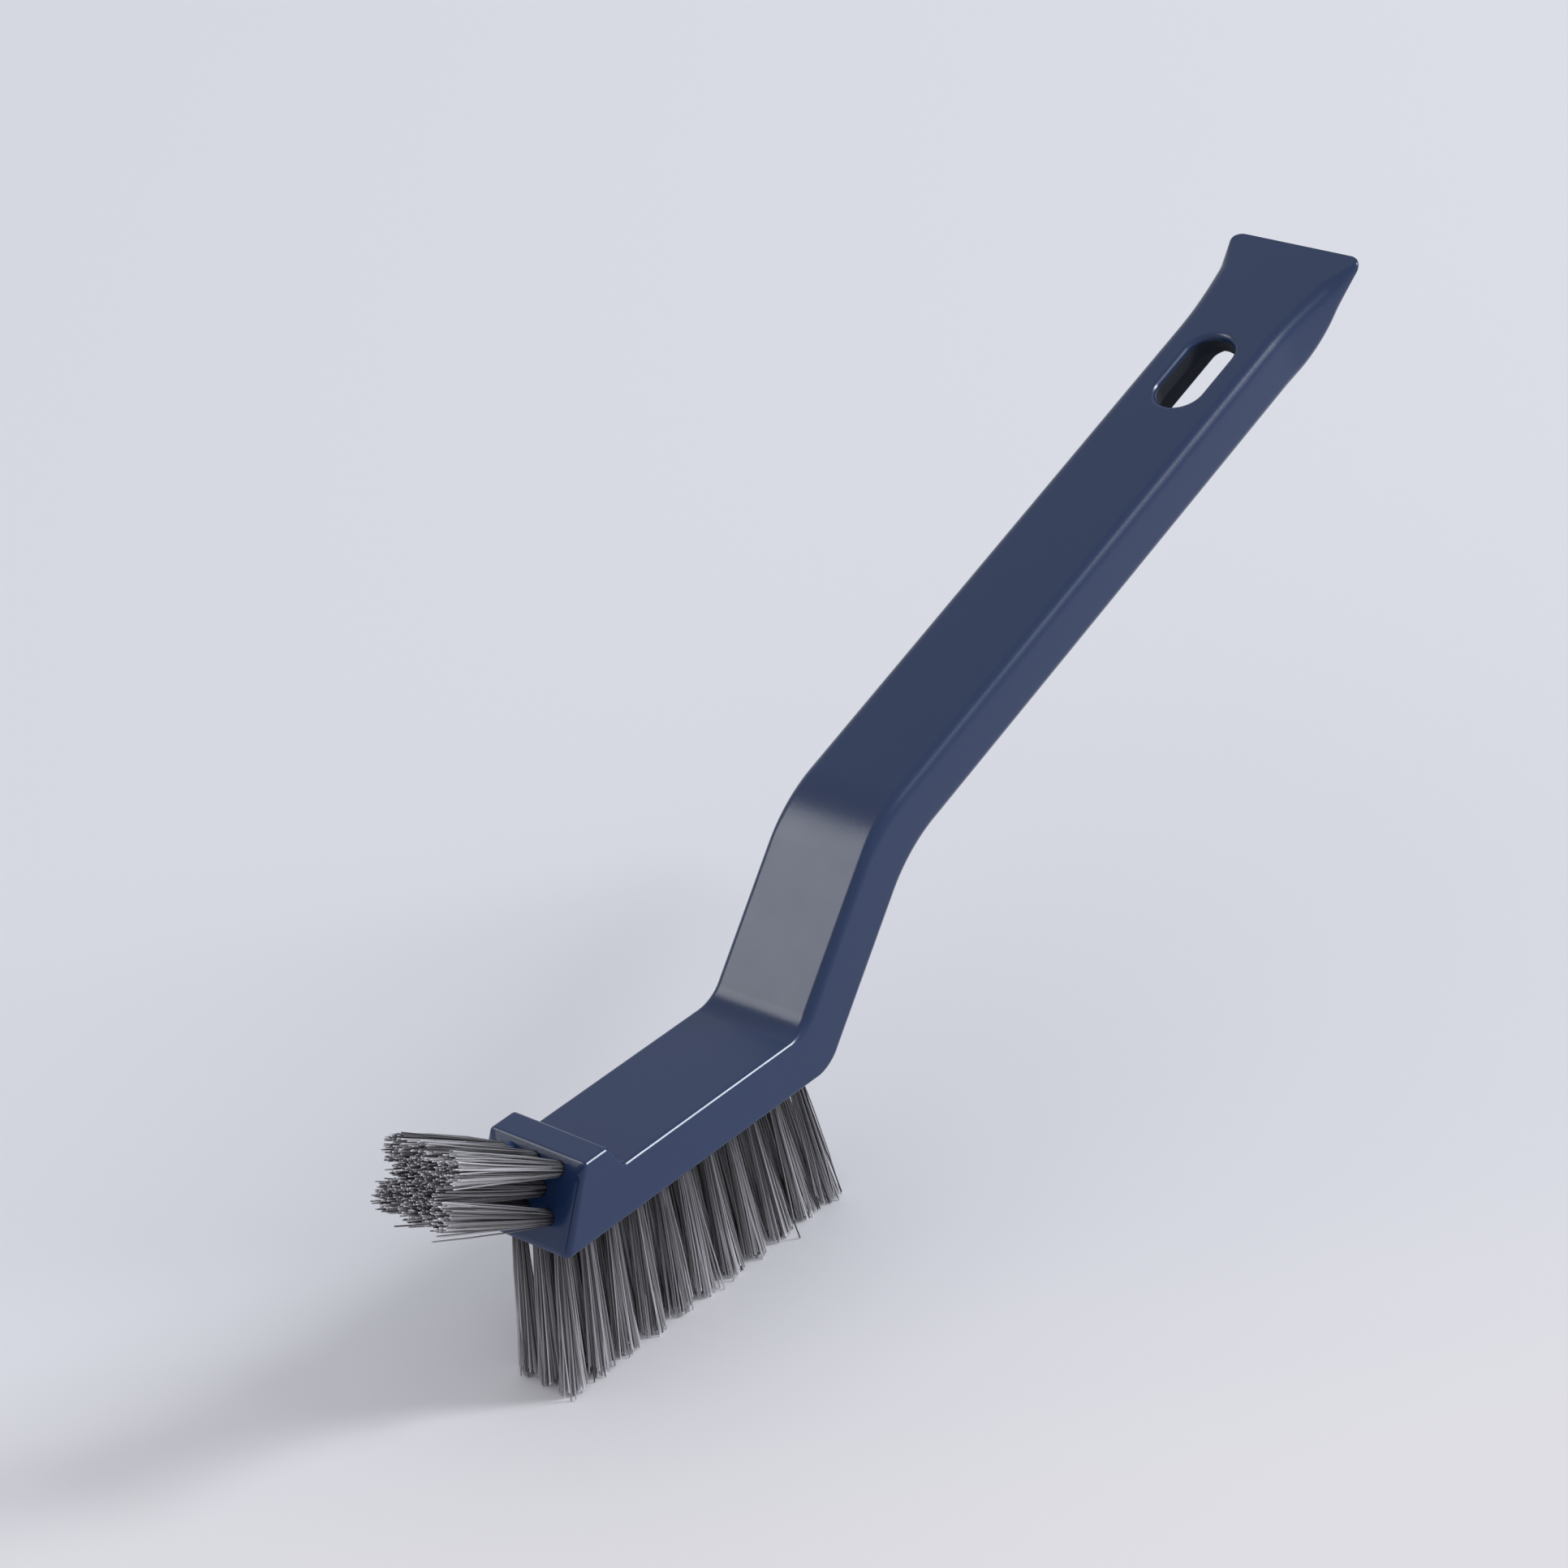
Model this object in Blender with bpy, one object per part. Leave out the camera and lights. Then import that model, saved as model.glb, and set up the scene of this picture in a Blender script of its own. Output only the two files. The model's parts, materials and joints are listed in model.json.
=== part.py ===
"""Crevice brush: a one-piece moulded handle with a flat head, a slanted nose and a scraper end,
33 tufts of bristles under the head and 8 tufts on the nose. Metres, +Z up, +X towards the nose.
The tips of the head's bristles stand on z = 0, and the middle of the brush's length is at x = 0."""

import math

import bmesh
import bpy
from mathutils import Matrix, Vector

# Head: a flat block, with a raised brow across its front and a nose face that slants below the brow
HEAD_WIDTH = 0.0244
HEAD_THICKNESS = 0.0111
HEAD_TOP_LENGTH = 0.0498
HEAD_EDGE_RADIUS = 0.0010
BROW_HEIGHT = 0.0055
BROW_SLOPE_RUN = 0.0034
BROW_TOP_LENGTH = 0.0065
BROW_RADIUS = 0.0011
BROW_UNDERSIDE_SHARES = (0.12, 0.27)
NOSE_RIM_RADIUS = 0.0024
NOSE_FOOT_RADIUS = 0.0013
NOSE_ANGLE = math.radians(27.9)

# Neck and handle: two straight runs, joined by bends of the same radius above and below
NECK_ANGLE = math.radians(48.7)
NECK_LENGTH = 0.0425
NECK_THICKNESS = 0.0129
NECK_EDGE_RADIUS = 0.0019
HANDLE_ANGLE = math.radians(18.6)
HANDLE_LENGTH = 0.1675
HANDLE_THICKNESS = 0.0128
HANDLE_WIDTH = 0.0243
HANDLE_EDGE_RADIUS = 0.0027
HEEL_RADIUS = 0.0087
SHOULDER_RADIUS = 0.0326

# Scraper: the handle's end flares out to its full width and thins to a lip from below
SCRAPER_WIDTH = 0.032
SCRAPER_CORNER_RADIUS = 0.0022
FLARE_LENGTH = 0.0275
FLARE_POWER = 1.53
WEDGE_ANGLE = math.radians(39.8)
WEDGE_RADIUS = 0.0236
LIP_THICKNESS = 0.0011
LIP_LENGTH = 0.0012
LIP_EDGE_RADIUS = 0.0004

# Hang slot: a stadium with a rounded rim through a thin web, over a wider pocket cored out from below
SLOT_LENGTH = 0.0205
SLOT_WIDTH = 0.0102
SLOT_RIM_RADIUS = 0.0016
SLOT_WEB_THICKNESS = 0.0042
SLOT_POCKET_MARGIN = 0.0047
SLOT_TO_SCRAPER_EDGE = 0.0395

# Tufts: bristles folded over an anchor and driven into a blind hole
TUFT_HOLE_DIAMETER = 0.0032
TUFT_CLEARANCE = 0.0002
TUFT_ROOT_PINCH_SHARE = 0.34
STRAND_GAP = 0.0001
STRAND_TIP_SHARE = 1.35

# Tufts under the head: three columns of eleven rows, fanned towards both ends of the head
HEAD_ROWS = 11
HEAD_HOLE_DEPTH = 0.0030
HEAD_FIELD_FRONT = 0.0062
HEAD_FIELD_REAR = 0.0049
HEAD_COLUMN_PITCH = 0.0053
HEAD_BRISTLE_LENGTH = 0.0325
HEAD_FAN_FRONT = 0.0032
HEAD_FAN_REAR = 0.0053
HEAD_FAN_SIDE = 0.0003
HEAD_TIP_DIAMETER = 0.0050
HEAD_TIP_UNEVENNESS = 0.0011

# Tufts on the nose: rows of three, two and three, nearly square to the nose face
THREE_COLUMNS = ("left", "centre", "right")
TWO_COLUMNS = ("left", "right")
NOSE_ROWS = (("upper", THREE_COLUMNS), ("middle", TWO_COLUMNS), ("lower", THREE_COLUMNS))
NOSE_HOLE_DEPTH = 0.0021
NOSE_FIRST_ROW = 0.0025
NOSE_ROW_PITCH = 0.0046
NOSE_COLUMN_PITCH = 0.0061
NOSE_BRISTLE_LENGTH = 0.0309
NOSE_SPREAD_SHARE = 0.13
NOSE_LIFT = 0.0015
NOSE_TIP_DIAMETER = 0.0050
NOSE_TIP_UNEVENNESS = 0.0013

# How finely round shapes are cut
CORNER_STEPS = 4
BEND_STEPS = 6
ROUND_STEPS = 4
HOLE_SIDES = 12
SLOT_END_STEPS = 10
CUT_OVERRUN = 0.002

# How far each strand of a tuft falls short of the longest, as a share of the tuft's unevenness
SHORTFALL_SHARES = (0.0, 0.6, 0.15, 0.9, 0.3, 0.0, 0.75, 0.2, 0.5, 0.0, 1.0, 0.4)
TUFT_SIDES = 8
TUFT_CORE_SHARE = 0.52

HANDLE_COLOUR = (0.030, 0.047, 0.105, 1.0)
BRISTLE_COLOUR = (0.20, 0.20, 0.215, 1.0)


def clear_scene():
    for item in list(bpy.data.objects):
        bpy.data.objects.remove(item, do_unlink=True)


def plastic(name, colour, roughness):
    material = bpy.data.materials.new(name)
    material.use_nodes = True
    shader = material.node_tree.nodes["Principled BSDF"]
    shader.inputs["Base Color"].default_value = colour
    shader.inputs["Roughness"].default_value = roughness
    shader.inputs["Metallic"].default_value = 0.0
    return material


def new_object(name, mesh_source, material):
    """Turns a bmesh into an object of the scene, with its faces pointing out."""
    bmesh.ops.recalc_face_normals(mesh_source, faces=mesh_source.faces)
    mesh = bpy.data.meshes.new(name)
    mesh_source.to_mesh(mesh)
    mesh_source.free()
    if material:
        mesh.materials.append(material)
    item = bpy.data.objects.new(name, mesh)
    bpy.context.scene.collection.objects.link(item)
    return item


def flat(x, z):
    """A point of the side view, on the brush's middle plane."""
    return Vector((x, 0, z))


def heading(angle):
    """The direction that runs back from the head and rises by the angle."""
    return flat(-math.cos(angle), math.sin(angle))


def below(angle):
    """The direction square to a heading, through the moulding to its underside."""
    return flat(-math.sin(angle), -math.cos(angle))


def crossing(point_a, along_a, point_b, along_b):
    """Where two lines of the side view meet."""
    offset = point_b - point_a
    turn = along_a.x * along_b.z - along_a.z * along_b.x
    return point_a + along_a * ((offset.x * along_b.z - offset.z * along_b.x) / turn)


def fillet(before, corner, after, radius, steps):
    """Points of an arc that rounds a corner of the side view."""
    inward = (before - corner).normalized()
    outward = (after - corner).normalized()
    half_angle = inward.angle(outward) / 2
    start = corner + inward * (radius / math.tan(half_angle))
    centre = corner + (inward + outward).normalized() * (radius / math.sin(half_angle))
    arm = start - centre
    normal = inward.cross(outward)
    turn = math.pi - 2 * half_angle
    return [centre + Matrix.Rotation(-turn * step / steps, 3, normal) @ arm for step in range(steps + 1)]


def even_points(start, end, count):
    return [start.lerp(end, step / (count - 1)) for step in range(count)]


# Side view of the moulding, with the crease between head and neck at the origin
crease = flat(0, 0)
brow_foot = flat(HEAD_TOP_LENGTH, 0)
brow_ridge = brow_foot + flat(BROW_SLOPE_RUN, BROW_HEIGHT)
brow_front = brow_ridge + flat(BROW_TOP_LENGTH, 0)
nose_down = flat(math.sin(NOSE_ANGLE), -math.cos(NOSE_ANGLE))
nose_out = flat(math.cos(NOSE_ANGLE), math.sin(NOSE_ANGLE))
nose_foot = crossing(brow_front, nose_down, flat(0, -HEAD_THICKNESS), flat(1, 0))
shoulder = crease + heading(NECK_ANGLE) * NECK_LENGTH
scraper_edge = shoulder + heading(HANDLE_ANGLE) * HANDLE_LENGTH
neck_underside = crease + below(NECK_ANGLE) * NECK_THICKNESS
handle_underside = shoulder + below(HANDLE_ANGLE) * HANDLE_THICKNESS
heel = crossing(nose_foot, flat(-1, 0), neck_underside, heading(NECK_ANGLE))
arch = crossing(neck_underside, heading(NECK_ANGLE), handle_underside, heading(HANDLE_ANGLE))
lip_start = HANDLE_LENGTH - LIP_LENGTH
wedge_start = lip_start - (HANDLE_THICKNESS - LIP_THICKNESS) / math.tan(WEDGE_ANGLE)

# The brush stands on its bristle tips, with the middle of its length over the origin
stand_height = HEAD_THICKNESS + HEAD_BRISTLE_LENGTH
nose_middle_row = NOSE_FIRST_ROW + NOSE_ROW_PITCH * (len(NOSE_ROWS) - 1) / 2
nose_tip = brow_front + nose_down * (nose_middle_row - NOSE_LIFT) + nose_out * NOSE_BRISTLE_LENGTH
nose_reach = nose_tip.x + nose_down.x * (NOSE_ROW_PITCH + NOSE_TIP_DIAMETER / 2)
placing = Vector((-(nose_reach + scraper_edge.x) / 2, 0, stand_height))


def handle_point(along, depth):
    """A point of the side view on the handle's run, by its distance from the shoulder and its depth."""
    return shoulder + heading(HANDLE_ANGLE) * along + below(HANDLE_ANGLE) * depth


def rib(top, bottom, half_width, edge_radius):
    """One cross-section of the moulding: a rounded rectangle between a top and a bottom point."""
    centre = (top + bottom) / 2
    up = (top - bottom).normalized()
    half_height = (top - bottom).length / 2
    radius = min(edge_radius, half_height - LIP_EDGE_RADIUS / 2)
    ring = []
    for quarter, (side, level) in enumerate(((1, 1), (-1, 1), (-1, -1), (1, -1))):
        for step in range(CORNER_STEPS + 1):
            angle = (quarter + step / CORNER_STEPS) * math.pi / 2
            across = side * (half_width - radius) + radius * math.cos(angle)
            rise = level * (half_height - radius) + radius * math.sin(angle)
            ring.append(centre + Vector((0, across, 0)) + up * rise)
    return ring


def nose_ribs():
    """Sections that round the rim of the nose face."""
    front = fillet(nose_foot, brow_front, brow_ridge, NOSE_RIM_RADIUS, ROUND_STEPS)
    under = fillet(brow_front, nose_foot, heel, NOSE_FOOT_RADIUS, ROUND_STEPS)
    ribs = []
    for step, (top, bottom) in enumerate(zip(front, under)):
        inset = NOSE_RIM_RADIUS * (1 - math.sin(math.pi / 2 * step / ROUND_STEPS))
        ribs.append(rib(top, bottom, HEAD_WIDTH / 2 - inset, HEAD_EDGE_RADIUS))
    return ribs


def brow_ribs():
    """Sections through the brow's rear ridge and its foot on the head's top."""
    ridge = fillet(brow_front, brow_ridge, brow_foot, BROW_RADIUS, CORNER_STEPS)
    foot = fillet(brow_ridge, brow_foot, crease, BROW_RADIUS, CORNER_STEPS)
    tops = ridge + foot
    front, rear = (nose_foot.lerp(heel, share) for share in BROW_UNDERSIDE_SHARES)
    bottoms = even_points(front, rear, len(tops))
    return [rib(top, bottom, HEAD_WIDTH / 2, HEAD_EDGE_RADIUS) for top, bottom in zip(tops, bottoms)]


def bend_ribs():
    """Sections through both bends, where the moulding grows from the head's width to the handle's."""
    crease_arc = fillet(brow_foot, crease, shoulder, HEEL_RADIUS, BEND_STEPS)
    heel_arc = fillet(nose_foot, heel, arch, HEEL_RADIUS, BEND_STEPS)
    shoulder_arc = fillet(crease, shoulder, scraper_edge, SHOULDER_RADIUS, BEND_STEPS)
    arch_arc = fillet(heel, arch, handle_point(wedge_start, HANDLE_THICKNESS), SHOULDER_RADIUS, BEND_STEPS)
    ribs = []
    for step, (top, bottom) in enumerate(zip(crease_arc, heel_arc)):
        share = step / BEND_STEPS
        half_width = (HEAD_WIDTH + (HANDLE_WIDTH - HEAD_WIDTH) * share) / 2
        radius = HEAD_EDGE_RADIUS + (NECK_EDGE_RADIUS - HEAD_EDGE_RADIUS) * share
        ribs.append(rib(top, bottom, half_width, radius))
    for step, (top, bottom) in enumerate(zip(shoulder_arc, arch_arc)):
        radius = NECK_EDGE_RADIUS + (HANDLE_EDGE_RADIUS - NECK_EDGE_RADIUS) * step / BEND_STEPS
        ribs.append(rib(top, bottom, HANDLE_WIDTH / 2, radius))
    return ribs


def flare_half_width(along):
    """Half the handle's width, which grows along the flare to the scraper's."""
    flare_start = HANDLE_LENGTH - FLARE_LENGTH
    share = (along - flare_start) / (FLARE_LENGTH - SCRAPER_CORNER_RADIUS)
    share = min(1, max(0, share))
    return (HANDLE_WIDTH + (SCRAPER_WIDTH - HANDLE_WIDTH) * share**FLARE_POWER) / 2


def wedge_point(along):
    """A point of the scraper's underside, on the slope of the wedge or under the lip."""
    slope_depth = HANDLE_THICKNESS - (along - wedge_start) * math.tan(WEDGE_ANGLE)
    return handle_point(along, max(LIP_THICKNESS, slope_depth))


def scraper_ribs():
    """Sections from the start of the flare to the lip, whose corners are rounded in plan."""
    wedge_corner = handle_point(wedge_start, HANDLE_THICKNESS)
    lip_corner = handle_point(lip_start, LIP_THICKNESS)
    bottoms = [handle_point(HANDLE_LENGTH - FLARE_LENGTH, HANDLE_THICKNESS)]
    bottoms += fillet(handle_underside, wedge_corner, lip_corner, WEDGE_RADIUS, BEND_STEPS)
    corner_start = HANDLE_LENGTH - SCRAPER_CORNER_RADIUS
    bottoms += even_points(bottoms[-1], wedge_point(corner_start), BEND_STEPS)[1:]
    for step in range(1, ROUND_STEPS + 1):
        turn = math.pi / 2 * step / ROUND_STEPS
        bottoms.append(wedge_point(corner_start + SCRAPER_CORNER_RADIUS * math.sin(turn)))
    ribs = []
    for bottom in bottoms:
        along = (bottom - shoulder).dot(heading(HANDLE_ANGLE))
        depth = (bottom - shoulder).dot(below(HANDLE_ANGLE))
        rounding = max(0, along - corner_start)
        inset = SCRAPER_CORNER_RADIUS - math.sqrt(max(0, SCRAPER_CORNER_RADIUS**2 - rounding**2))
        radius = min(HANDLE_EDGE_RADIUS, depth / 3)
        ribs.append(rib(handle_point(along, 0), bottom, flare_half_width(along) - inset, radius))
    return ribs


def loft(ribs):
    """Skins a row of sections that have equally many points, and closes both ends."""
    shape = bmesh.new()
    rings = [[shape.verts.new(point + placing) for point in section] for section in ribs]
    for ring, following in zip(rings, rings[1:]):
        for index in range(len(ring)):
            after = (index + 1) % len(ring)
            shape.faces.new((ring[index], ring[after], following[after], following[index]))
    shape.faces.new(rings[0])
    shape.faces.new(rings[-1])
    return shape


def slot_cutter():
    """A stadium through the handle, which widens in a quarter round at its top and in a pocket below."""
    half_run = (SLOT_LENGTH - SLOT_WIDTH) / 2
    levels = [(-CUT_OVERRUN, SLOT_RIM_RADIUS), (0, SLOT_RIM_RADIUS)]
    for step in range(1, ROUND_STEPS + 1):
        angle = math.pi / 2 * step / ROUND_STEPS
        levels.append((SLOT_RIM_RADIUS * (1 - math.cos(angle)), SLOT_RIM_RADIUS * (1 - math.sin(angle))))
    levels.append((SLOT_WEB_THICKNESS, 0))
    levels.append((SLOT_WEB_THICKNESS, SLOT_POCKET_MARGIN))
    levels.append((HANDLE_THICKNESS + CUT_OVERRUN, SLOT_POCKET_MARGIN))
    centre = handle_point(HANDLE_LENGTH - SLOT_TO_SCRAPER_EDGE, 0)
    rings = []
    for depth, widening in levels:
        radius = SLOT_WIDTH / 2 + widening
        ring = []
        for end in (1, -1):
            for step in range(SLOT_END_STEPS + 1):
                angle = math.pi * step / SLOT_END_STEPS - math.pi / 2
                along = end * (half_run + radius * math.cos(angle))
                across = Vector((0, end * radius * math.sin(angle), 0))
                ring.append(centre + heading(HANDLE_ANGLE) * along + below(HANDLE_ANGLE) * depth + across)
        rings.append(ring)
    return new_object("slot_cutter", loft(rings), None)


def head_tufts():
    """Name, mouth and axis end of each tuft under the head, front row first."""
    front = nose_foot.x - HEAD_FIELD_FRONT
    rear = heel.x + HEAD_FIELD_REAR
    for row in range(HEAD_ROWS):
        share = row / (HEAD_ROWS - 1)
        lean = HEAD_FAN_FRONT - (HEAD_FAN_FRONT + HEAD_FAN_REAR) * share
        for column, side in zip((1, 0, -1), THREE_COLUMNS):
            mouth = Vector((front + (rear - front) * share, column * HEAD_COLUMN_PITCH, -HEAD_THICKNESS))
            fall = Vector((lean, column * HEAD_FAN_SIDE, -HEAD_BRISTLE_LENGTH))
            yield f"head_tuft_{row + 1:02d}_{side}", mouth, mouth + fall


def nose_tufts():
    """Name, mouth and axis end of each tuft on the nose, top row first."""
    for row, (level, columns) in enumerate(NOSE_ROWS):
        for column, side in enumerate(columns):
            across = Vector((0, ((len(columns) - 1) / 2 - column) * NOSE_COLUMN_PITCH, 0))
            mouth = brow_front + nose_down * (NOSE_FIRST_ROW + NOSE_ROW_PITCH * row) + across
            spread = across * NOSE_SPREAD_SHARE - nose_down * NOSE_LIFT
            yield f"nose_tuft_{level}_{side}", mouth, mouth + nose_out * NOSE_BRISTLE_LENGTH + spread


def hole_cutter(name, holes):
    """One cutter for all the blind holes of a field of tufts."""
    shape = bmesh.new()
    for mouth, end, depth in holes:
        axis = (end - mouth).normalized()
        turn = axis.to_track_quat("Z", "Y").to_matrix().to_4x4()
        centre = mouth + placing + axis * (CUT_OVERRUN - depth) / 2
        bmesh.ops.create_cone(
            shape,
            cap_ends=True,
            segments=HOLE_SIDES,
            radius1=TUFT_HOLE_DIAMETER / 2,
            radius2=TUFT_HOLE_DIAMETER / 2,
            depth=depth + CUT_OVERRUN,
            matrix=Matrix.Translation(centre) @ turn,
        )
    return new_object(name, shape, None)


def cut(target, cutter):
    cutter.hide_render = True
    cutter.display_type = "WIRE"
    boolean = target.modifiers.new(cutter.name, "BOOLEAN")
    boolean.operation = "DIFFERENCE"
    boolean.solver = "EXACT"
    boolean.object = cutter


def tuft_cells(shape, place):
    """The twelve cells of a tuft's section: a core of four and a ring of eight around it."""
    turn = 2 * math.pi / TUFT_SIDES
    rim = [place(math.cos((side + 0.5) * turn), math.sin((side + 0.5) * turn)) for side in range(TUFT_SIDES)]
    rim = [shape.verts.new(point) for point in rim]
    core = []
    for side in range(1, TUFT_SIDES, 2):
        across = TUFT_CORE_SHARE * math.cos(side * turn)
        core.append(shape.verts.new(place(across, TUFT_CORE_SHARE * math.sin(side * turn))))
    middle = shape.verts.new(place(0, 0))
    cells = []
    for quarter in range(len(core)):
        first, second = core[quarter], core[(quarter + 1) % len(core)]
        rim_start = 2 * quarter
        cells.append(shape.faces.new((middle, first, second)))
        cells.append(shape.faces.new((first, rim[rim_start], rim[rim_start + 1])))
        cells.append(shape.faces.new((first, rim[rim_start + 1], rim[(rim_start + 2) % TUFT_SIDES], second)))
    return rim, cells


def tuft(name, mouth, end, depth, tip_radius, unevenness, cut_square, material):
    """A tuft: strands that leave one folded root, which is pinched flat over its anchor."""
    shape = bmesh.new()
    axis = (end - mouth).normalized()
    across = Vector((0, 1, 0))
    forward = axis.cross(across).normalized()
    side = forward.cross(axis)
    radius = TUFT_HOLE_DIAMETER / 2 - TUFT_CLEARANCE

    def at_mouth(along, sideways):
        return mouth + (forward * along + side * sideways) * radius

    rim, cells = tuft_cells(shape, at_mouth)
    seat = mouth - axis * (depth - TUFT_CLEARANCE)
    root = []
    for vertex in rim:
        offset = vertex.co - mouth
        pinched = forward * (offset.dot(forward) * TUFT_ROOT_PINCH_SHARE)
        root.append(shape.verts.new(seat + pinched + side * offset.dot(side)))
    for index in range(TUFT_SIDES):
        after = (index + 1) % TUFT_SIDES
        shape.faces.new((rim[after], rim[index], root[index], root[after]))
    shape.faces.new(root)
    bmesh.ops.inset_individual(shape, faces=cells, thickness=STRAND_GAP)
    centres = [cell.calc_center_median() for cell in cells]
    strands = bmesh.ops.extrude_discrete_faces(shape, faces=cells)["faces"]
    tip_forward, tip_side = (forward, side) if cut_square else (Vector((1, 0, 0)), across)
    for index, strand in enumerate(strands):
        centre = strand.calc_center_median()
        offset = (centre - mouth) * (tip_radius / radius)
        tip = end + tip_forward * offset.dot(forward) + tip_side * offset.dot(side)
        shortfall = unevenness * SHORTFALL_SHARES[index % len(SHORTFALL_SHARES)]
        tip -= (tip - centre).normalized() * shortfall
        for vertex in strand.verts:
            corner = (vertex.co - centre) * STRAND_TIP_SHARE
            vertex.co = tip + tip_forward * corner.dot(forward) + tip_side * corner.dot(side)
    bmesh.ops.translate(shape, verts=shape.verts, vec=placing)
    return new_object(name, shape, material)


def build():
    clear_scene()
    navy = plastic("navy_polypropylene", HANDLE_COLOUR, 0.32)
    grey = plastic("grey_nylon", BRISTLE_COLOUR, 0.5)
    handle = new_object("handle", loft(nose_ribs() + brow_ribs() + bend_ribs() + scraper_ribs()), navy)
    head_places = list(head_tufts())
    nose_places = list(nose_tufts())
    cut(handle, slot_cutter())
    head_holes = [(mouth, end, HEAD_HOLE_DEPTH) for name, mouth, end in head_places]
    nose_holes = [(mouth, end, NOSE_HOLE_DEPTH) for name, mouth, end in nose_places]
    cut(handle, hole_cutter("head_hole_cutter", head_holes))
    cut(handle, hole_cutter("nose_hole_cutter", nose_holes))
    head_tip = HEAD_TIP_DIAMETER / 2
    nose_tip_radius = NOSE_TIP_DIAMETER / 2
    for name, mouth, end in head_places:
        tuft(name, mouth, end, HEAD_HOLE_DEPTH, head_tip, HEAD_TIP_UNEVENNESS, False, grey)
    for name, mouth, end in nose_places:
        tuft(name, mouth, end, NOSE_HOLE_DEPTH, nose_tip_radius, NOSE_TIP_UNEVENNESS, True, grey)


build()
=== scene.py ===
import json
import math
import random

import bmesh
import bpy
from mathutils import Matrix, Vector


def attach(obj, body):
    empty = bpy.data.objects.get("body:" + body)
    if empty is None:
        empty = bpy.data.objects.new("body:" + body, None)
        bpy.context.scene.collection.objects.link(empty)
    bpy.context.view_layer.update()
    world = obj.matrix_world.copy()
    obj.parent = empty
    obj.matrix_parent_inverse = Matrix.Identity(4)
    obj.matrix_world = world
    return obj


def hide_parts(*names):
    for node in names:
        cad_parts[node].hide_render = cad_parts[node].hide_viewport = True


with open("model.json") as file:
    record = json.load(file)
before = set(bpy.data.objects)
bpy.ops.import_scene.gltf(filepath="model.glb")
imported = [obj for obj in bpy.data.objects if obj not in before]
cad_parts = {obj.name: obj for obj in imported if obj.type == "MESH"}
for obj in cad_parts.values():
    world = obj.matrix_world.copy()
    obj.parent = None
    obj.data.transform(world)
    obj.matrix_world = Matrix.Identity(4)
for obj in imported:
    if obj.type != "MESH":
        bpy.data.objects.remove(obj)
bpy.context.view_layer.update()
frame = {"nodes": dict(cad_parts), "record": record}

# Handle
# One injection moulding in navy polypropylene: head, brow, nose face, neck, handle and scraper end.
# It is lofted through rounded sections along its side view, as the CAD solid is, and adds a bevel along the
# top of the nose face and softer edges on the flare.
head_width = 0.0244
head_thickness = 0.0111
head_top_length = 0.0498
head_edge_radius = 0.0010
brow_height = 0.0055
brow_slope_run = 0.0034
brow_top_length = 0.0065
brow_radius = 0.0011
brow_underside_shares = (0.12, 0.27)
nose_rim_radius = 0.0024
nose_foot_radius = 0.0013
rim_bevel_back = 0.0006
rim_bevel_down = 0.0027
rim_bevel_radius = 0.0008
rim_bevel_fade = 0.0040
nose_angle = math.radians(27.9)
neck_angle = math.radians(48.7)
neck_length = 0.0425
neck_thickness = 0.0129
neck_edge_radius = 0.0019
handle_angle = math.radians(18.6)
handle_length = 0.1675
handle_thickness = 0.0128
handle_width = 0.0243
handle_edge_radius = 0.0027
heel_radius = 0.0087
shoulder_radius = 0.0326
scraper_width = 0.032
scraper_corner_radius = 0.0022
flare_length = 0.0275
flare_power = 1.53
flare_edge_radius = 0.0036
largest_edge_share = 0.42
wedge_angle = math.radians(39.8)
wedge_radius = 0.0236
lip_thickness = 0.0011
lip_length = 0.0012
lip_edge_radius = 0.0004
edge_steps = 6
bend_steps = 12
rim_steps = 8


def flat(x, z):
    """A point of the side view, on the brush's middle plane."""
    return Vector((x, 0, z))


def heading(angle):
    """The direction that runs back from the head and rises by the angle."""
    return flat(-math.cos(angle), math.sin(angle))


def below(angle):
    """The direction square to a heading, through the moulding to its underside."""
    return flat(-math.sin(angle), -math.cos(angle))


def crossing(point_a, along_a, point_b, along_b):
    """Where two lines of the side view meet."""
    offset = point_b - point_a
    turn = along_a.x * along_b.z - along_a.z * along_b.x
    return point_a + along_a * ((offset.x * along_b.z - offset.z * along_b.x) / turn)


def fillet(before, corner, after, radius, steps):
    """Points of an arc that rounds a corner of the side view."""
    inward = (before - corner).normalized()
    outward = (after - corner).normalized()
    half_angle = inward.angle(outward) / 2
    start = corner + inward * (radius / math.tan(half_angle))
    centre = corner + (inward + outward).normalized() * (radius / math.sin(half_angle))
    normal = inward.cross(outward)
    turn = math.pi - 2 * half_angle
    return [
        centre + Matrix.Rotation(-turn * step / steps, 3, normal) @ (start - centre)
        for step in range(steps + 1)
    ]


# The mount on the head's top marks the middle of its length, so the crease is half a length behind it
mounts = {mount["name"]: mount for mount in frame["record"]["mounts"]}
crease = Vector(mounts["head_top"]["pos_m"]) - flat(head_top_length / 2, 0)
brow_foot = crease + flat(head_top_length, 0)
brow_ridge = brow_foot + flat(brow_slope_run, brow_height)
brow_front = brow_ridge + flat(brow_top_length, 0)
nose_down = flat(math.sin(nose_angle), -math.cos(nose_angle))
nose_out = flat(math.cos(nose_angle), math.sin(nose_angle))
nose_foot = crossing(brow_front, nose_down, crease - flat(0, head_thickness), flat(1, 0))
shoulder = crease + heading(neck_angle) * neck_length
scraper_edge = shoulder + heading(handle_angle) * handle_length
neck_underside = crease + below(neck_angle) * neck_thickness
handle_underside = shoulder + below(handle_angle) * handle_thickness
heel = crossing(nose_foot, flat(-1, 0), neck_underside, heading(neck_angle))
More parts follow.
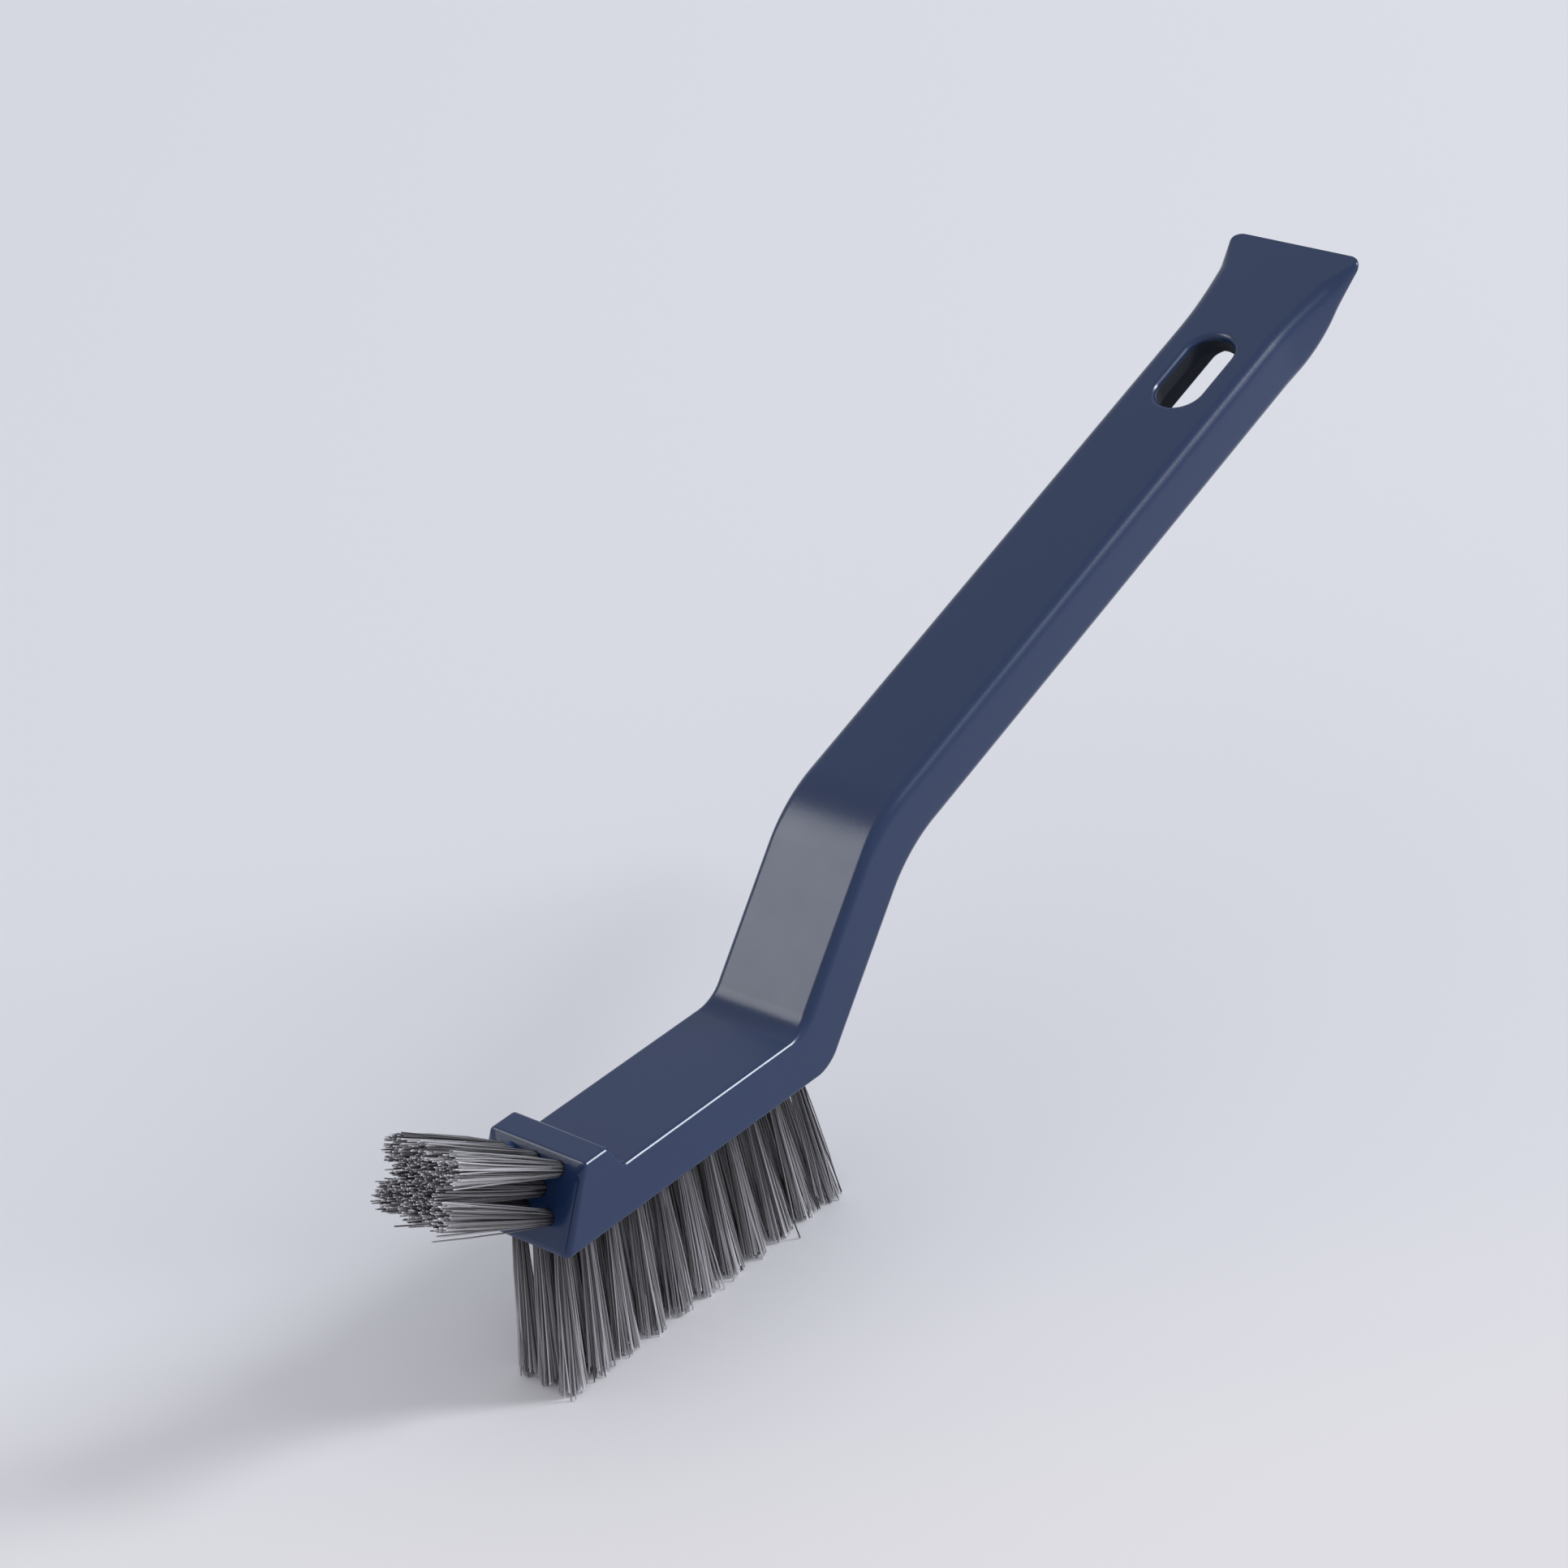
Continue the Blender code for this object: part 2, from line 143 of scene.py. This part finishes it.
arch = crossing(neck_underside, heading(neck_angle), handle_underside, heading(handle_angle))
lip_start = handle_length - lip_length
wedge_start = lip_start - (handle_thickness - lip_thickness) / math.tan(wedge_angle)


def handle_point(along, depth):
    """A point of the side view on the handle's run, by its distance from the shoulder and its depth."""
    return shoulder + heading(handle_angle) * along + below(handle_angle) * depth


def nose_sections():
    """Top, bottom, width and edge radius of the sections that round the rim of the nose face, which is
    bevelled along its top."""
    bevel_foot = brow_front + nose_down * rim_bevel_down
    bevel_top = brow_front - flat(rim_bevel_back, 0)
    front = fillet(nose_foot, bevel_foot, bevel_top, rim_bevel_fade, rim_steps // 2)
    front += fillet(bevel_foot, bevel_top, brow_ridge, rim_bevel_radius, rim_steps // 2)
    under = fillet(brow_front, nose_foot, heel, nose_foot_radius, len(front) - 1)
    for step, (top, bottom) in enumerate(zip(front, under)):
        inset = nose_rim_radius * (1 - math.sin(math.pi / 2 * step / (len(front) - 1)))
        yield top, bottom, head_width - 2 * inset, head_edge_radius


def brow_sections():
    """Sections through the brow's rear ridge and its foot on the head's top."""
    tops = fillet(brow_front, brow_ridge, brow_foot, brow_radius, rim_steps)
    tops += fillet(brow_ridge, brow_foot, crease, brow_radius, rim_steps)
    front, rear = (nose_foot.lerp(heel, share) for share in brow_underside_shares)
    for step, top in enumerate(tops):
        yield top, front.lerp(rear, step / (len(tops) - 1)), head_width, head_edge_radius


def bend_sections():
    """Sections through both bends, where the moulding grows from the head's size to the handle's."""
    crease_arc = fillet(brow_foot, crease, shoulder, heel_radius, bend_steps)
    heel_arc = fillet(nose_foot, heel, arch, heel_radius, bend_steps)
    for step, (top, bottom) in enumerate(zip(crease_arc, heel_arc)):
        share = step / bend_steps
        width = head_width + (handle_width - head_width) * share
        yield top, bottom, width, head_edge_radius + (neck_edge_radius - head_edge_radius) * share
    wedge_corner = handle_point(wedge_start, handle_thickness)
    shoulder_arc = fillet(crease, shoulder, scraper_edge, shoulder_radius, bend_steps)
    arch_arc = fillet(heel, arch, wedge_corner, shoulder_radius, bend_steps)
    for step, (top, bottom) in enumerate(zip(shoulder_arc, arch_arc)):
        share = step / bend_steps
        yield top, bottom, handle_width, neck_edge_radius + (handle_edge_radius - neck_edge_radius) * share


def flare_width(along):
    """The handle's width, which grows along the flare to the scraper's."""
    share = (along - handle_length + flare_length) / (flare_length - scraper_corner_radius)
    share = min(1, max(0, share))
    return handle_width + (scraper_width - handle_width) * share**flare_power


def wedge_point(along):
    """A point of the scraper's underside, on the slope of the wedge or under the lip."""
    slope_depth = handle_thickness - (along - wedge_start) * math.tan(wedge_angle)
    return handle_point(along, max(lip_thickness, slope_depth))


def scraper_sections():
    """Sections from the start of the flare to the lip, whose corners are rounded in plan."""
    wedge_corner = handle_point(wedge_start, handle_thickness)
    lip_corner = handle_point(lip_start, lip_thickness)
    bottoms = [handle_point(handle_length - flare_length, handle_thickness)]
    bottoms += fillet(handle_underside, wedge_corner, lip_corner, wedge_radius, bend_steps)
    wedge_top = bottoms[-1]
    corner_start = handle_length - scraper_corner_radius
    for step in range(1, bend_steps + 1):
        bottoms.append(wedge_top.lerp(wedge_point(corner_start), step / bend_steps))
    for step in range(1, rim_steps + 1):
        turn = math.pi / 2 * step / rim_steps
        bottoms.append(wedge_point(corner_start + scraper_corner_radius * math.sin(turn)))
    for bottom in bottoms:
        along = (bottom - shoulder).dot(heading(handle_angle))
        depth = (bottom - shoulder).dot(below(handle_angle))
        rounding = max(0, along - corner_start)
        inset = scraper_corner_radius - math.sqrt(max(0, scraper_corner_radius**2 - rounding**2))
        share = max(0, along - handle_length + flare_length) / flare_length
        radius = handle_edge_radius + (flare_edge_radius - handle_edge_radius) * share
        radius = max(lip_edge_radius, min(radius, depth * largest_edge_share))
        yield handle_point(along, 0), bottom, flare_width(along) - 2 * inset, radius


def start_piece(name):
    """An empty mesh object at the origin, open in edit mode."""
    bpy.ops.object.select_all(action="DESELECT")
    bpy.ops.mesh.primitive_plane_add(size=1)
    piece = bpy.context.object
    piece.name = name
    piece.data.name = name
    bpy.ops.object.mode_set(mode="EDIT")
    bpy.ops.mesh.delete(type="VERT")
    return piece


def select_faces(piece, wanted):
    """Selects the faces that pass a test, in edit mode."""
    bpy.ops.mesh.select_mode(type="FACE")
    bpy.ops.mesh.select_all(action="DESELECT")
    shape = bmesh.from_edit_mesh(piece.data)
    for face in shape.faces:
        face.select_set(bool(wanted(face)))
    bmesh.update_edit_mesh(piece.data)


def add_section(top, bottom, width, edge_radius):
    """Adds a plane of the section's size, rounds its corners and turns it into place."""
    rise = top - bottom
    bpy.ops.mesh.select_all(action="DESELECT")
    bpy.ops.mesh.primitive_plane_add(size=1)
    bpy.ops.transform.resize(value=(rise.length, width, 1))
    bpy.ops.mesh.bevel(affect="VERTICES", offset=edge_radius, segments=edge_steps)
    tilt = math.atan2(rise.z, rise.x)
    bpy.ops.transform.rotate(value=tilt, orient_axis="Y", center_override=(0, 0, 0))
    bpy.ops.transform.translate(value=(top + bottom) / 2)


def apply_modifiers(piece):
    """Applies every modifier of a piece."""
    bpy.ops.object.select_all(action="DESELECT")
    bpy.context.view_layer.objects.active = piece
    piece.select_set(True)
    for modifier in list(piece.modifiers):
        bpy.ops.object.modifier_apply(modifier=modifier.name)


def skin_sections(piece):
    """Joins the open piece's row of planes into one closed skin."""
    last_section = len(bmesh.from_edit_mesh(piece.data).faces) - 1
    select_faces(piece, lambda face: 0 < face.index < last_section)
    bpy.ops.mesh.delete(type="ONLY_FACE")
    bpy.ops.mesh.select_mode(type="EDGE")
    bpy.ops.mesh.select_all(action="SELECT")
    bpy.ops.mesh.bridge_edge_loops()
    bpy.ops.mesh.select_all(action="SELECT")
    bpy.ops.mesh.normals_make_consistent(inside=False)
    bpy.ops.object.mode_set(mode="OBJECT")


handle = start_piece("navy_handle")
for sections in (nose_sections(), brow_sections(), bend_sections(), scraper_sections()):
    for top, bottom, width, edge_radius in sections:
        add_section(top, bottom, width, edge_radius)
skin_sections(handle)

# Hang slot
# A stadium near the scraper, to hang the brush on a hook. It is moulded in: its rim is rounded above, and
# the web that it goes through is a third of the handle's thickness, because a pocket is cored out from
# below around it.
slot_length = 0.0212
slot_width = 0.0106
slot_rim_radius = 0.0012
slot_rim_steps = 4
slot_rim_overrun = 0.0004
slot_web_thickness = 0.0042
pocket_width = 0.0194
pocket_reach_to_head = 0.0149
pocket_reach_to_scraper = 0.0185
pocket_corner_radius = 0.0030
slot_to_scraper_edge = 0.0395
slot_corner_steps = 12
slot_end_share = 0.9999
cut_overrun = 0.002
slot_middle = handle_point(handle_length - slot_to_scraper_edge, 0)


def cut(piece, cutter):
    """Cuts one closed shape out of a piece, and removes the cutter."""
    boolean = piece.modifiers.new("cut", "BOOLEAN")
    boolean.operation = "DIFFERENCE"
    boolean.solver = "EXACT"
    boolean.object = cutter
    apply_modifiers(piece)
    bpy.data.objects.remove(cutter, do_unlink=True)


def slot_levels():
    """Depth below the handle's top and widening of the slot's outline, from above it to below it. The first
    slope of the rim carries on above the handle, so that no outline lies in its top."""
    first_turn = math.pi / 2 / slot_rim_steps
    yield -slot_rim_overrun, slot_rim_radius + slot_rim_overrun / math.tan(first_turn / 2)
    for step in range(1, slot_rim_steps + 1):
        turn = first_turn * step
        yield slot_rim_radius * (1 - math.cos(turn)), slot_rim_radius * (1 - math.sin(turn))
    yield handle_thickness + cut_overrun, 0


def add_outline(middle_along, depth, length, width, corner_radius):
    """Adds one outline, parallel to the handle's top: a rectangle with its corners rounded."""
    bpy.ops.mesh.select_all(action="DESELECT")
    bpy.ops.mesh.primitive_plane_add(size=1)
    bpy.ops.transform.resize(value=(length, width, 1))
    bpy.ops.mesh.bevel(affect="VERTICES", offset=corner_radius, segments=slot_corner_steps)
    bpy.ops.transform.rotate(value=-handle_angle, orient_axis="Y", center_override=(0, 0, 0))
    place = slot_middle + heading(handle_angle) * middle_along + below(handle_angle) * depth
    bpy.ops.transform.translate(value=place)


# The end radius stays a hair under half the slot's width, at which a bevel of all four corners fails
slot_cutter = start_piece("slot_cutter")
for depth, widening in slot_levels():
    end_radius = (slot_width / 2 + widening) * slot_end_share
    add_outline(0, depth, slot_length + 2 * widening, slot_width + 2 * widening, end_radius)
skin_sections(slot_cutter)
cut(handle, slot_cutter)

pocket_cutter = start_piece("pocket_cutter")
pocket_length = pocket_reach_to_scraper + pocket_reach_to_head
pocket_middle = (pocket_reach_to_scraper - pocket_reach_to_head) / 2
for depth in (slot_web_thickness, handle_thickness + cut_overrun):
    add_outline(pocket_middle, depth, pocket_length, pocket_width, pocket_corner_radius)
skin_sections(pocket_cutter)
cut(handle, pocket_cutter)

# Tuft holes
# Each tuft is driven into its own blind hole, along the tuft's own lean: 33 under the head and 8 in the
# nose. Where a hole goes is read from the tuft's CAD solid: the fold at its foot and the middle of its tips.
tuft_hole_radius = 0.0016
head_hole_depth = 0.0030
nose_hole_depth = 0.0021
tuft_clearance = 0.0002
fold_zone = 0.0008
tip_zone = 0.0015
hole_sides = 20
straight_down = Vector((0, 0, -1))


def middle(places):
    """The average of some places."""
    return sum(places, Vector()) / len(places)


def tuft_run(node, outward, hole_depth):
    """The mouth of a tuft's hole and the middle of its tips."""
    places = [vertex.co.copy() for vertex in frame["nodes"][node].data.vertices]
    nearest = min(place.dot(outward) for place in places)
    furthest = max(place.dot(outward) for place in places)
    fold = middle([place for place in places if place.dot(outward) < nearest + fold_zone])
    tips = middle([place for place in places if place.dot(outward) > furthest - tip_zone])
    axis = (tips - fold).normalized()
    return fold + axis * (hole_depth - tuft_clearance), tips


def add_hole(mouth, tips, depth):
    """Adds one cylinder of the cutter, from the bottom of a hole to as far outside it."""
    lean = (tips - mouth).to_track_quat("Z", "Y").to_euler()
    bpy.ops.mesh.primitive_cylinder_add(
        vertices=hole_sides, radius=tuft_hole_radius, depth=2 * depth, location=mouth, rotation=lean
    )


head_runs = {
    node: tuft_run(node, straight_down, head_hole_depth)
    for node in sorted(frame["nodes"]) if node.startswith("head_tuft")
}
nose_runs = {
    node: tuft_run(node, nose_out, nose_hole_depth)
    for node in sorted(frame["nodes"]) if node.startswith("nose_tuft")
}
holes = start_piece("tuft_holes")
for mouth, tips in head_runs.values():
    add_hole(mouth, tips, head_hole_depth)
for mouth, tips in nose_runs.values():
    add_hole(mouth, tips, nose_hole_depth)
bpy.ops.object.mode_set(mode="OBJECT")
cut(handle, holes)

# Handle finish
# Navy polypropylene straight from a polished mould: an even colour with a faint flow in it, a soft gloss
# that varies a little, and a very fine texture. The walls of the slot and its pocket are matt, with painted
# shade that darkens them.
navy = (0.0095, 0.028, 0.088, 1)
navy_flow = (0.012, 0.032, 0.097, 1)
# Painted shade: a near-black navy on the walls of the slot and its pocket, for the shade that falls in them
recess_painted_shade = (0.004, 0.007, 0.017, 1)
recess_roughness = 0.95
recess_margin = 0.0002
flow_scale = 30
flow_detail = 2
gloss_scale = 120
gloss_detail = 3
texture_scale = 1500
texture_detail = 1
handle_roughness = 0.25
roughness_range = 0.07
polypropylene_ior = 1.49
texture_depth = 0.000012
crease_angle = math.radians(35)


class Channel:
    """One output socket, so that shader maths reads as plain expressions."""

    def __init__(self, finish, socket):
        self.finish = finish
        self.socket = socket

    def combine(self, operation, first, second):
        return self.finish.add("Math", {"operation": operation}, {0: first, 1: second})

    def __add__(self, other):
        return self.combine("ADD", self, other)

    def __radd__(self, other):
        return self.combine("ADD", other, self)

    def __mul__(self, other):
        return self.combine("MULTIPLY", self, other)

    def __rmul__(self, other):
        return self.combine("MULTIPLY", other, self)

    def __gt__(self, other):
        return self.combine("GREATER_THAN", self, other)

    def __lt__(self, other):
        return self.combine("LESS_THAN", self, other)


class Finish:
    """The nodes of one material, or of the world."""

    def __init__(self, tree):
        self.tree = tree

    def add(self, kind, settings=None, sockets=None, output=0):
        """Makes any node: its settings first, then the values or links of its sockets."""
        node = self.tree.nodes.new("ShaderNode" + kind)
        for name, value in (settings or {}).items():
            setattr(node, name, value)
        for name, value in (sockets or {}).items():
            self.feed(node.inputs[name], value)
        return Channel(self, node.outputs[output])

    def feed(self, socket, value):
        if isinstance(value, Channel):
            self.tree.links.new(value.socket, socket)
        else:
            socket.default_value = value

    def blend(self, share, first, second):
        """A colour between two colours."""
        settings = {"data_type": "RGBA", "clamp_factor": True}
        return self.add("Mix", settings, {0: share, 6: first, 7: second}, output=2)

    def places(self):
        return self.add("TexCoord", output="Object")

    def noise(self, scale, detail):
        return self.add("TexNoise", sockets={"Vector": self.places(), "Scale": scale, "Detail": detail})

    def distance_along(self, place, direction):
        """How far a place lies from the origin along a direction."""
        return self.add("VectorMath", {"operation": "DOT_PRODUCT"}, {0: place, 1: direction}, output=1)


def new_finish(name):
    """A material with its Principled shader, and the helper that adds nodes to it."""
    material = bpy.data.materials.new(name)
    material.use_nodes = True
    return material, Finish(material.node_tree), material.node_tree.nodes["Principled BSDF"].inputs


def within(finish, place, direction, start, end):
    """1 where a place lies between two distances along a direction, 0 elsewhere."""
    distance = finish.distance_along(place, direction)
    return (distance > start) * (distance < end)


def in_recess(finish):
    """1 on the walls of the slot and its pocket, which are painted with shade and made matt, 0 elsewhere."""
    place = finish.add("VectorMath", {"operation": "SUBTRACT"}, {0: finish.places(), 1: slot_middle})
    head_end = -pocket_reach_to_head - recess_margin
    scraper_end = pocket_reach_to_scraper + recess_margin
    half_width = pocket_width / 2 + recess_margin
    depths = within(finish, place, below(handle_angle), slot_rim_radius, handle_thickness - recess_margin)
    lengths = within(finish, place, heading(handle_angle), head_end, scraper_end)
    widths = within(finish, place, (0, 1, 0), -half_width, half_width)
    return depths * lengths * widths


def navy_plastic():
    material, finish, shader = new_finish("navy_polypropylene")
    recess = in_recess(finish)
    outside = finish.blend(finish.noise(flow_scale, flow_detail), navy, navy_flow)
    # The recess mask paints shade on the walls of the slot and pocket, and below it also makes them matt
    finish.feed(shader["Base Color"], finish.blend(recess, outside, recess_painted_shade))
    glossiest = handle_roughness - roughness_range / 2
    gloss = finish.noise(gloss_scale, gloss_detail) * roughness_range + glossiest
    finish.feed(shader["Roughness"], gloss + recess * (recess_roughness - handle_roughness))
    texture = finish.noise(texture_scale, texture_detail)
    bump = finish.add("Bump", sockets={"Height": texture, "Distance": texture_depth, "Strength": 1})
    finish.feed(shader["Normal"], bump)
    shader["IOR"].default_value = polypropylene_ior
    return material


bpy.ops.object.select_all(action="DESELECT")
bpy.context.view_layer.objects.active = handle
handle.select_set(True)
bpy.ops.object.shade_smooth_by_angle(angle=crease_angle)
handle.modifiers.new("even_shading", "WEIGHTED_NORMAL").keep_sharp = True
apply_modifiers(handle)
handle.data.materials.append(navy_plastic())
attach(handle, "root")
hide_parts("handle")

# Bristles
# Grey nylon filament, cut to length, folded in bundles. One bristle is modelled, with rings where it can
# bend, and copied for every strand of every tuft.
bristle_radius = 0.00014
bristle_sides = 6
bristle_bends = (0.08, 0.36, 0.68)
strands_per_tuft = 104
root_radius = tuft_hole_radius - tuft_clearance - bristle_radius
root_depth_share = 0.6
golden_angle = math.pi * (3 - math.sqrt(5))
bow = 0.00022
tip_scatter = 0.00032
stray_share = 0.05
stray_scatter = 0.0009
tone_spread = 0.6
darkest_tone = 0.1
lightest_tone = 2.1
bristle_grey = (0.40, 0.386, 0.40, 1)
# Painted shade: the roots are near black, for the shade that falls between the tufts under the head
bristle_root_painted_shade = (0.05, 0.049, 0.054, 1)
bristle_tip_grey = (0.55, 0.54, 0.56, 1)
cut_end_share = 0.985
bristle_roughness = 0.4
nylon_ior = 1.53


def grey_nylon():
    """Painted shade darkens the roots; the cut ends are lighter, and each strand has a tone of its own."""
    material, finish, shader = new_finish("grey_nylon")
    along = finish.add("Attribute", {"attribute_name": "along"}, output="Fac")
    tone = finish.add("Attribute", {"attribute_name": "tone"}, output="Fac")
    # Painted shade at the roots, fading to the nylon's grey along each strand
    shaft_with_root_shade = finish.blend(along, bristle_root_painted_shade, bristle_grey)
    ends = finish.add("MapRange", sockets={"Value": along, "From Min": cut_end_share, "From Max": 1})
    colour = finish.blend(ends, shaft_with_root_shade, bristle_tip_grey)
    toned = finish.add("VectorMath", {"operation": "SCALE"}, {0: colour, "Scale": tone})
    finish.feed(shader["Base Color"], toned)
    shader["Roughness"].default_value = bristle_roughness
    shader["IOR"].default_value = nylon_ior
    return material


bristle = start_piece("bristle")
bpy.ops.mesh.primitive_cylinder_add(
    vertices=bristle_sides, radius=bristle_radius, depth=1, location=(0, 0, 1 / 2), end_fill_type="NGON"
)
for share in bristle_bends:
    bpy.ops.mesh.select_all(action="SELECT")
    bpy.ops.mesh.bisect(plane_co=(0, 0, share), plane_no=(0, 0, 1))
bpy.ops.object.mode_set(mode="OBJECT")
bristle_points = [vertex.co.copy() for vertex in bristle.data.vertices]
bristle_faces = [tuple(face.vertices) for face in bristle.data.polygons]
bpy.data.objects.remove(bristle, do_unlink=True)
nylon = grey_nylon()


def on_disc(index, count):
    """A place on a disc of radius 1, evenly filled from the middle outwards."""
    reach = math.sqrt((index + 0.5) / count)
    return reach * math.cos(index * golden_angle), reach * math.sin(index * golden_angle)


def random_step(side, across, size, draw):
    """A small random step square to the tuft's axis."""
    return (side * draw.gauss(0, 1) + across * draw.gauss(0, 1)) * size


def bend_bristle(root, end, axis, side, across, sag, fan_power):
    """The points of one copied bristle, which leaves its root along the axis and bends out to its end."""
    reach = (end - root).dot(axis)
    spread = (end - root) - axis * reach
    places = []
    for point in bristle_points:
        share = point.z
        place = root + axis * (reach * share) + spread * share**fan_power + sag * math.sin(math.pi * share)
        places.append(place + side * point.x + across * point.y)
    return places


def add_tuft(name, node, points, faces, alongs, tones):
    """Makes the tuft's mesh, which takes the place of its CAD node."""
    mesh = bpy.data.meshes.new(name)
    mesh.from_pydata(points, [], faces)
    for attribute, values in (("along", alongs), ("tone", tones)):
        mesh.attributes.new(attribute, "FLOAT", "POINT").data.foreach_set("value", values)
    mesh.materials.append(nylon)
    tuft = bpy.data.objects.new(name, mesh)
    bpy.context.scene.collection.objects.link(tuft)
    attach(tuft, "root")
    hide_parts(node)


def grow_tuft(name, node, mouth, tips, hole_depth, tip_radius, fan_power, trims, draw):
    """A tuft of copied bristles, which fan out from the mouth of their hole to the tips."""
    axis = (tips - mouth).normalized()
    side = axis.cross(Vector((0, 1, 0))).normalized()
    across = axis.cross(side)
    foot = mouth - axis * (hole_depth * root_depth_share)
    points, faces, alongs, tones = [], [], [], []
    for index in range(strands_per_tuft):
        right, ahead = on_disc(index, strands_per_tuft)
        outwards = side * right + across * ahead
        scatter = stray_scatter if draw.random() < stray_share else tip_scatter
        end = tips + outwards * tip_radius + random_step(side, across, scatter, draw)
        root = foot + outwards * root_radius
        end = trims(root, end, draw)
        sag = random_step(side, across, bow, draw)
        tone = min(lightest_tone, max(darkest_tone, draw.gauss(1, tone_spread)))
        faces += [tuple(len(points) + corner for corner in face) for face in bristle_faces]
        points += bend_bristle(root, end, axis, side, across, sag, fan_power)
        alongs += [point.z for point in bristle_points]
        tones += [tone] * len(bristle_points)
    add_tuft(name, node, points, faces, alongs, tones)


# Tufts under the head
# Three columns of eleven, fanned towards both ends of the head and trimmed level with the floor. They
# stay narrow at their roots.
head_tip_radius = 0.0025
head_fan_power = 1.45
head_unevenness = 0.0022


def trim_level(root, end, draw):
    """The strand's end, brought to the floor but for a little unevenness."""
    height = head_unevenness * draw.random()**2
    return root + (end - root) * ((root.z - height) / (root.z - end.z))


for number, (node, (mouth, tips)) in enumerate(head_runs.items()):
    draw = random.Random(number)
    name = node.replace("head_tuft", "bristles_head")
    grow_tuft(name, node, mouth, tips, head_hole_depth, head_tip_radius, head_fan_power, trim_level, draw)

# Tufts on the nose
# Rows of three, two and three, nearly square to the nose face and cut square. They spread as soon as they
# leave their holes.
nose_tip_radius = 0.0031
nose_fan_power = 0.75
nose_unevenness = 0.0014


def trim_square(root, end, draw):
    """The strand's end, short of the longest by a little."""
    return end + (root - end).normalized() * (nose_unevenness * draw.random()**2)


for number, (node, (mouth, tips)) in enumerate(nose_runs.items()):
    draw = random.Random(len(head_runs) + number)
    name = node.replace("nose_tuft", "bristles_nose")
    grow_tuft(name, node, mouth, tips, nose_hole_depth, nose_tip_radius, nose_fan_power, trim_square, draw)

# Floor and room
# A plain pale floor that fills the picture, a little warmer near the camera, and an even room around it.
# The room's own colour shows only above the horizon.
floor_radius = 14
floor_sides = 96
floor_far = (0.86, 0.85, 0.87, 1)
floor_near = (0.915, 0.875, 0.87, 1)
floor_far_reach = 0.02
floor_near_reach = 0.16
floor_roughness = 0.9
floor_specular = 0.1
towards_camera = Vector((1, 1, 0)).normalized()
room_colour = (0.694, 0.716, 0.791, 1)
ambient_colour = (0.90, 0.93, 1.0, 1)
ambient_strength = 0.635


def pale_floor():
    material, finish, shader = new_finish("pale_floor")
    distance = finish.distance_along(finish.places(), towards_camera)
    limits = {"Value": distance, "From Min": floor_far_reach, "From Max": floor_near_reach}
    nearness = finish.add("MapRange", {"interpolation_type": "SMOOTHSTEP"}, limits)
    finish.feed(shader["Base Color"], finish.blend(nearness, floor_far, floor_near))
    shader["Roughness"].default_value = floor_roughness
    shader["Specular IOR Level"].default_value = floor_specular
    return material


bpy.ops.object.select_all(action="DESELECT")
bpy.ops.mesh.primitive_circle_add(vertices=floor_sides, radius=floor_radius, fill_type="NGON")
floor = bpy.context.object
floor.name = "floor"
floor.data.materials.append(pale_floor())

world = bpy.data.worlds.new("room")
world.use_nodes = True
bpy.context.scene.world = world
room = Finish(world.node_tree)
seen = room.add("LightPath", output="Is Camera Ray")
backdrop = room.add("Background", sockets={"Color": room_colour, "Strength": 1})
ambient = room.add("Background", sockets={"Color": ambient_colour, "Strength": ambient_strength})
surface = room.add("MixShader", sockets={0: seen, 1: ambient, 2: backdrop})
room.feed(world.node_tree.nodes["World Output"].inputs["Surface"], surface)

# Lights
# A tall softbox at the picture's right lights the floor and throws the brush's shadow. A broad panel at the
# left and two smaller ones near the tall softbox only show as reflections, on the neck and along the edges.
light_distance = 6
head_middle = Vector((0.07, 0, 0.045))
cool_light = (0.90, 0.94, 1.0)
white_light = (1, 1, 1)

# Name, direction from the head, width and height at the light's distance, radiance, colour, lights the floor
softboxes = (
    ("key", (-0.61, 0.60, 0.52), 1.1, 2.6, 20, cool_light, True),
    ("edge_glint", (-0.585, 0.47, 0.66), 1.2, 1.5, 34, cool_light, False),
    ("left_panel", (0.492, -0.629, 0.602), 2.7, 2.8, 4.3, white_light, False),
    ("edge_strip", (-0.29, 0.64, 0.71), 0.8, 1.2, 1.2, cool_light, False),
)


def add_softbox(name, towards, width, height, radiance, colour, lights_floor):
    """A far rectangular light that faces the head and isn't seen itself."""
    data = bpy.data.lights.new(name, "AREA")
    data.shape = "RECTANGLE"
    data.size = width
    data.size_y = height
    data.energy = radiance * math.pi * width * height
    data.color = colour
    light = bpy.data.objects.new(name, data)
    bpy.context.scene.collection.objects.link(light)
    light.visible_camera = False
    light.visible_diffuse = lights_floor
    direction = Vector(towards).normalized()
    light.location = head_middle + direction * light_distance
    light.rotation_mode = "QUATERNION"
    light.rotation_quaternion = direction.to_track_quat("Z", "Y")


for softbox in softboxes:
    add_softbox(*softbox)

# Camera
# At the photograph's viewing angle: a long lens, from the brush's left and above, a little rolled. Its
# place and axes were fitted to edges and corners measured in the photograph.
picture_width = 1932
focal_pixels = 5917.8
clip_distance = 100
camera_place = Vector((0.59184, 0.55603, 0.52241))
camera_right = Vector((-0.65037, 0.75020, -0.11926))
camera_up = Vector((-0.43576, -0.23986, 0.86752))

camera_data = bpy.data.cameras.new("camera")
camera_data.lens = camera_data.sensor_width * focal_pixels / picture_width
camera_data.clip_end = clip_distance
camera = bpy.data.objects.new("camera", camera_data)
bpy.context.scene.collection.objects.link(camera)
camera_back = camera_right.cross(camera_up).normalized()
axes = Matrix((camera_right, camera_up, camera_back)).transposed()
camera.matrix_world = Matrix.Translation(camera_place) @ axes.to_4x4()
bpy.context.scene.camera = camera
bpy.context.scene.view_settings.view_transform = "Standard"
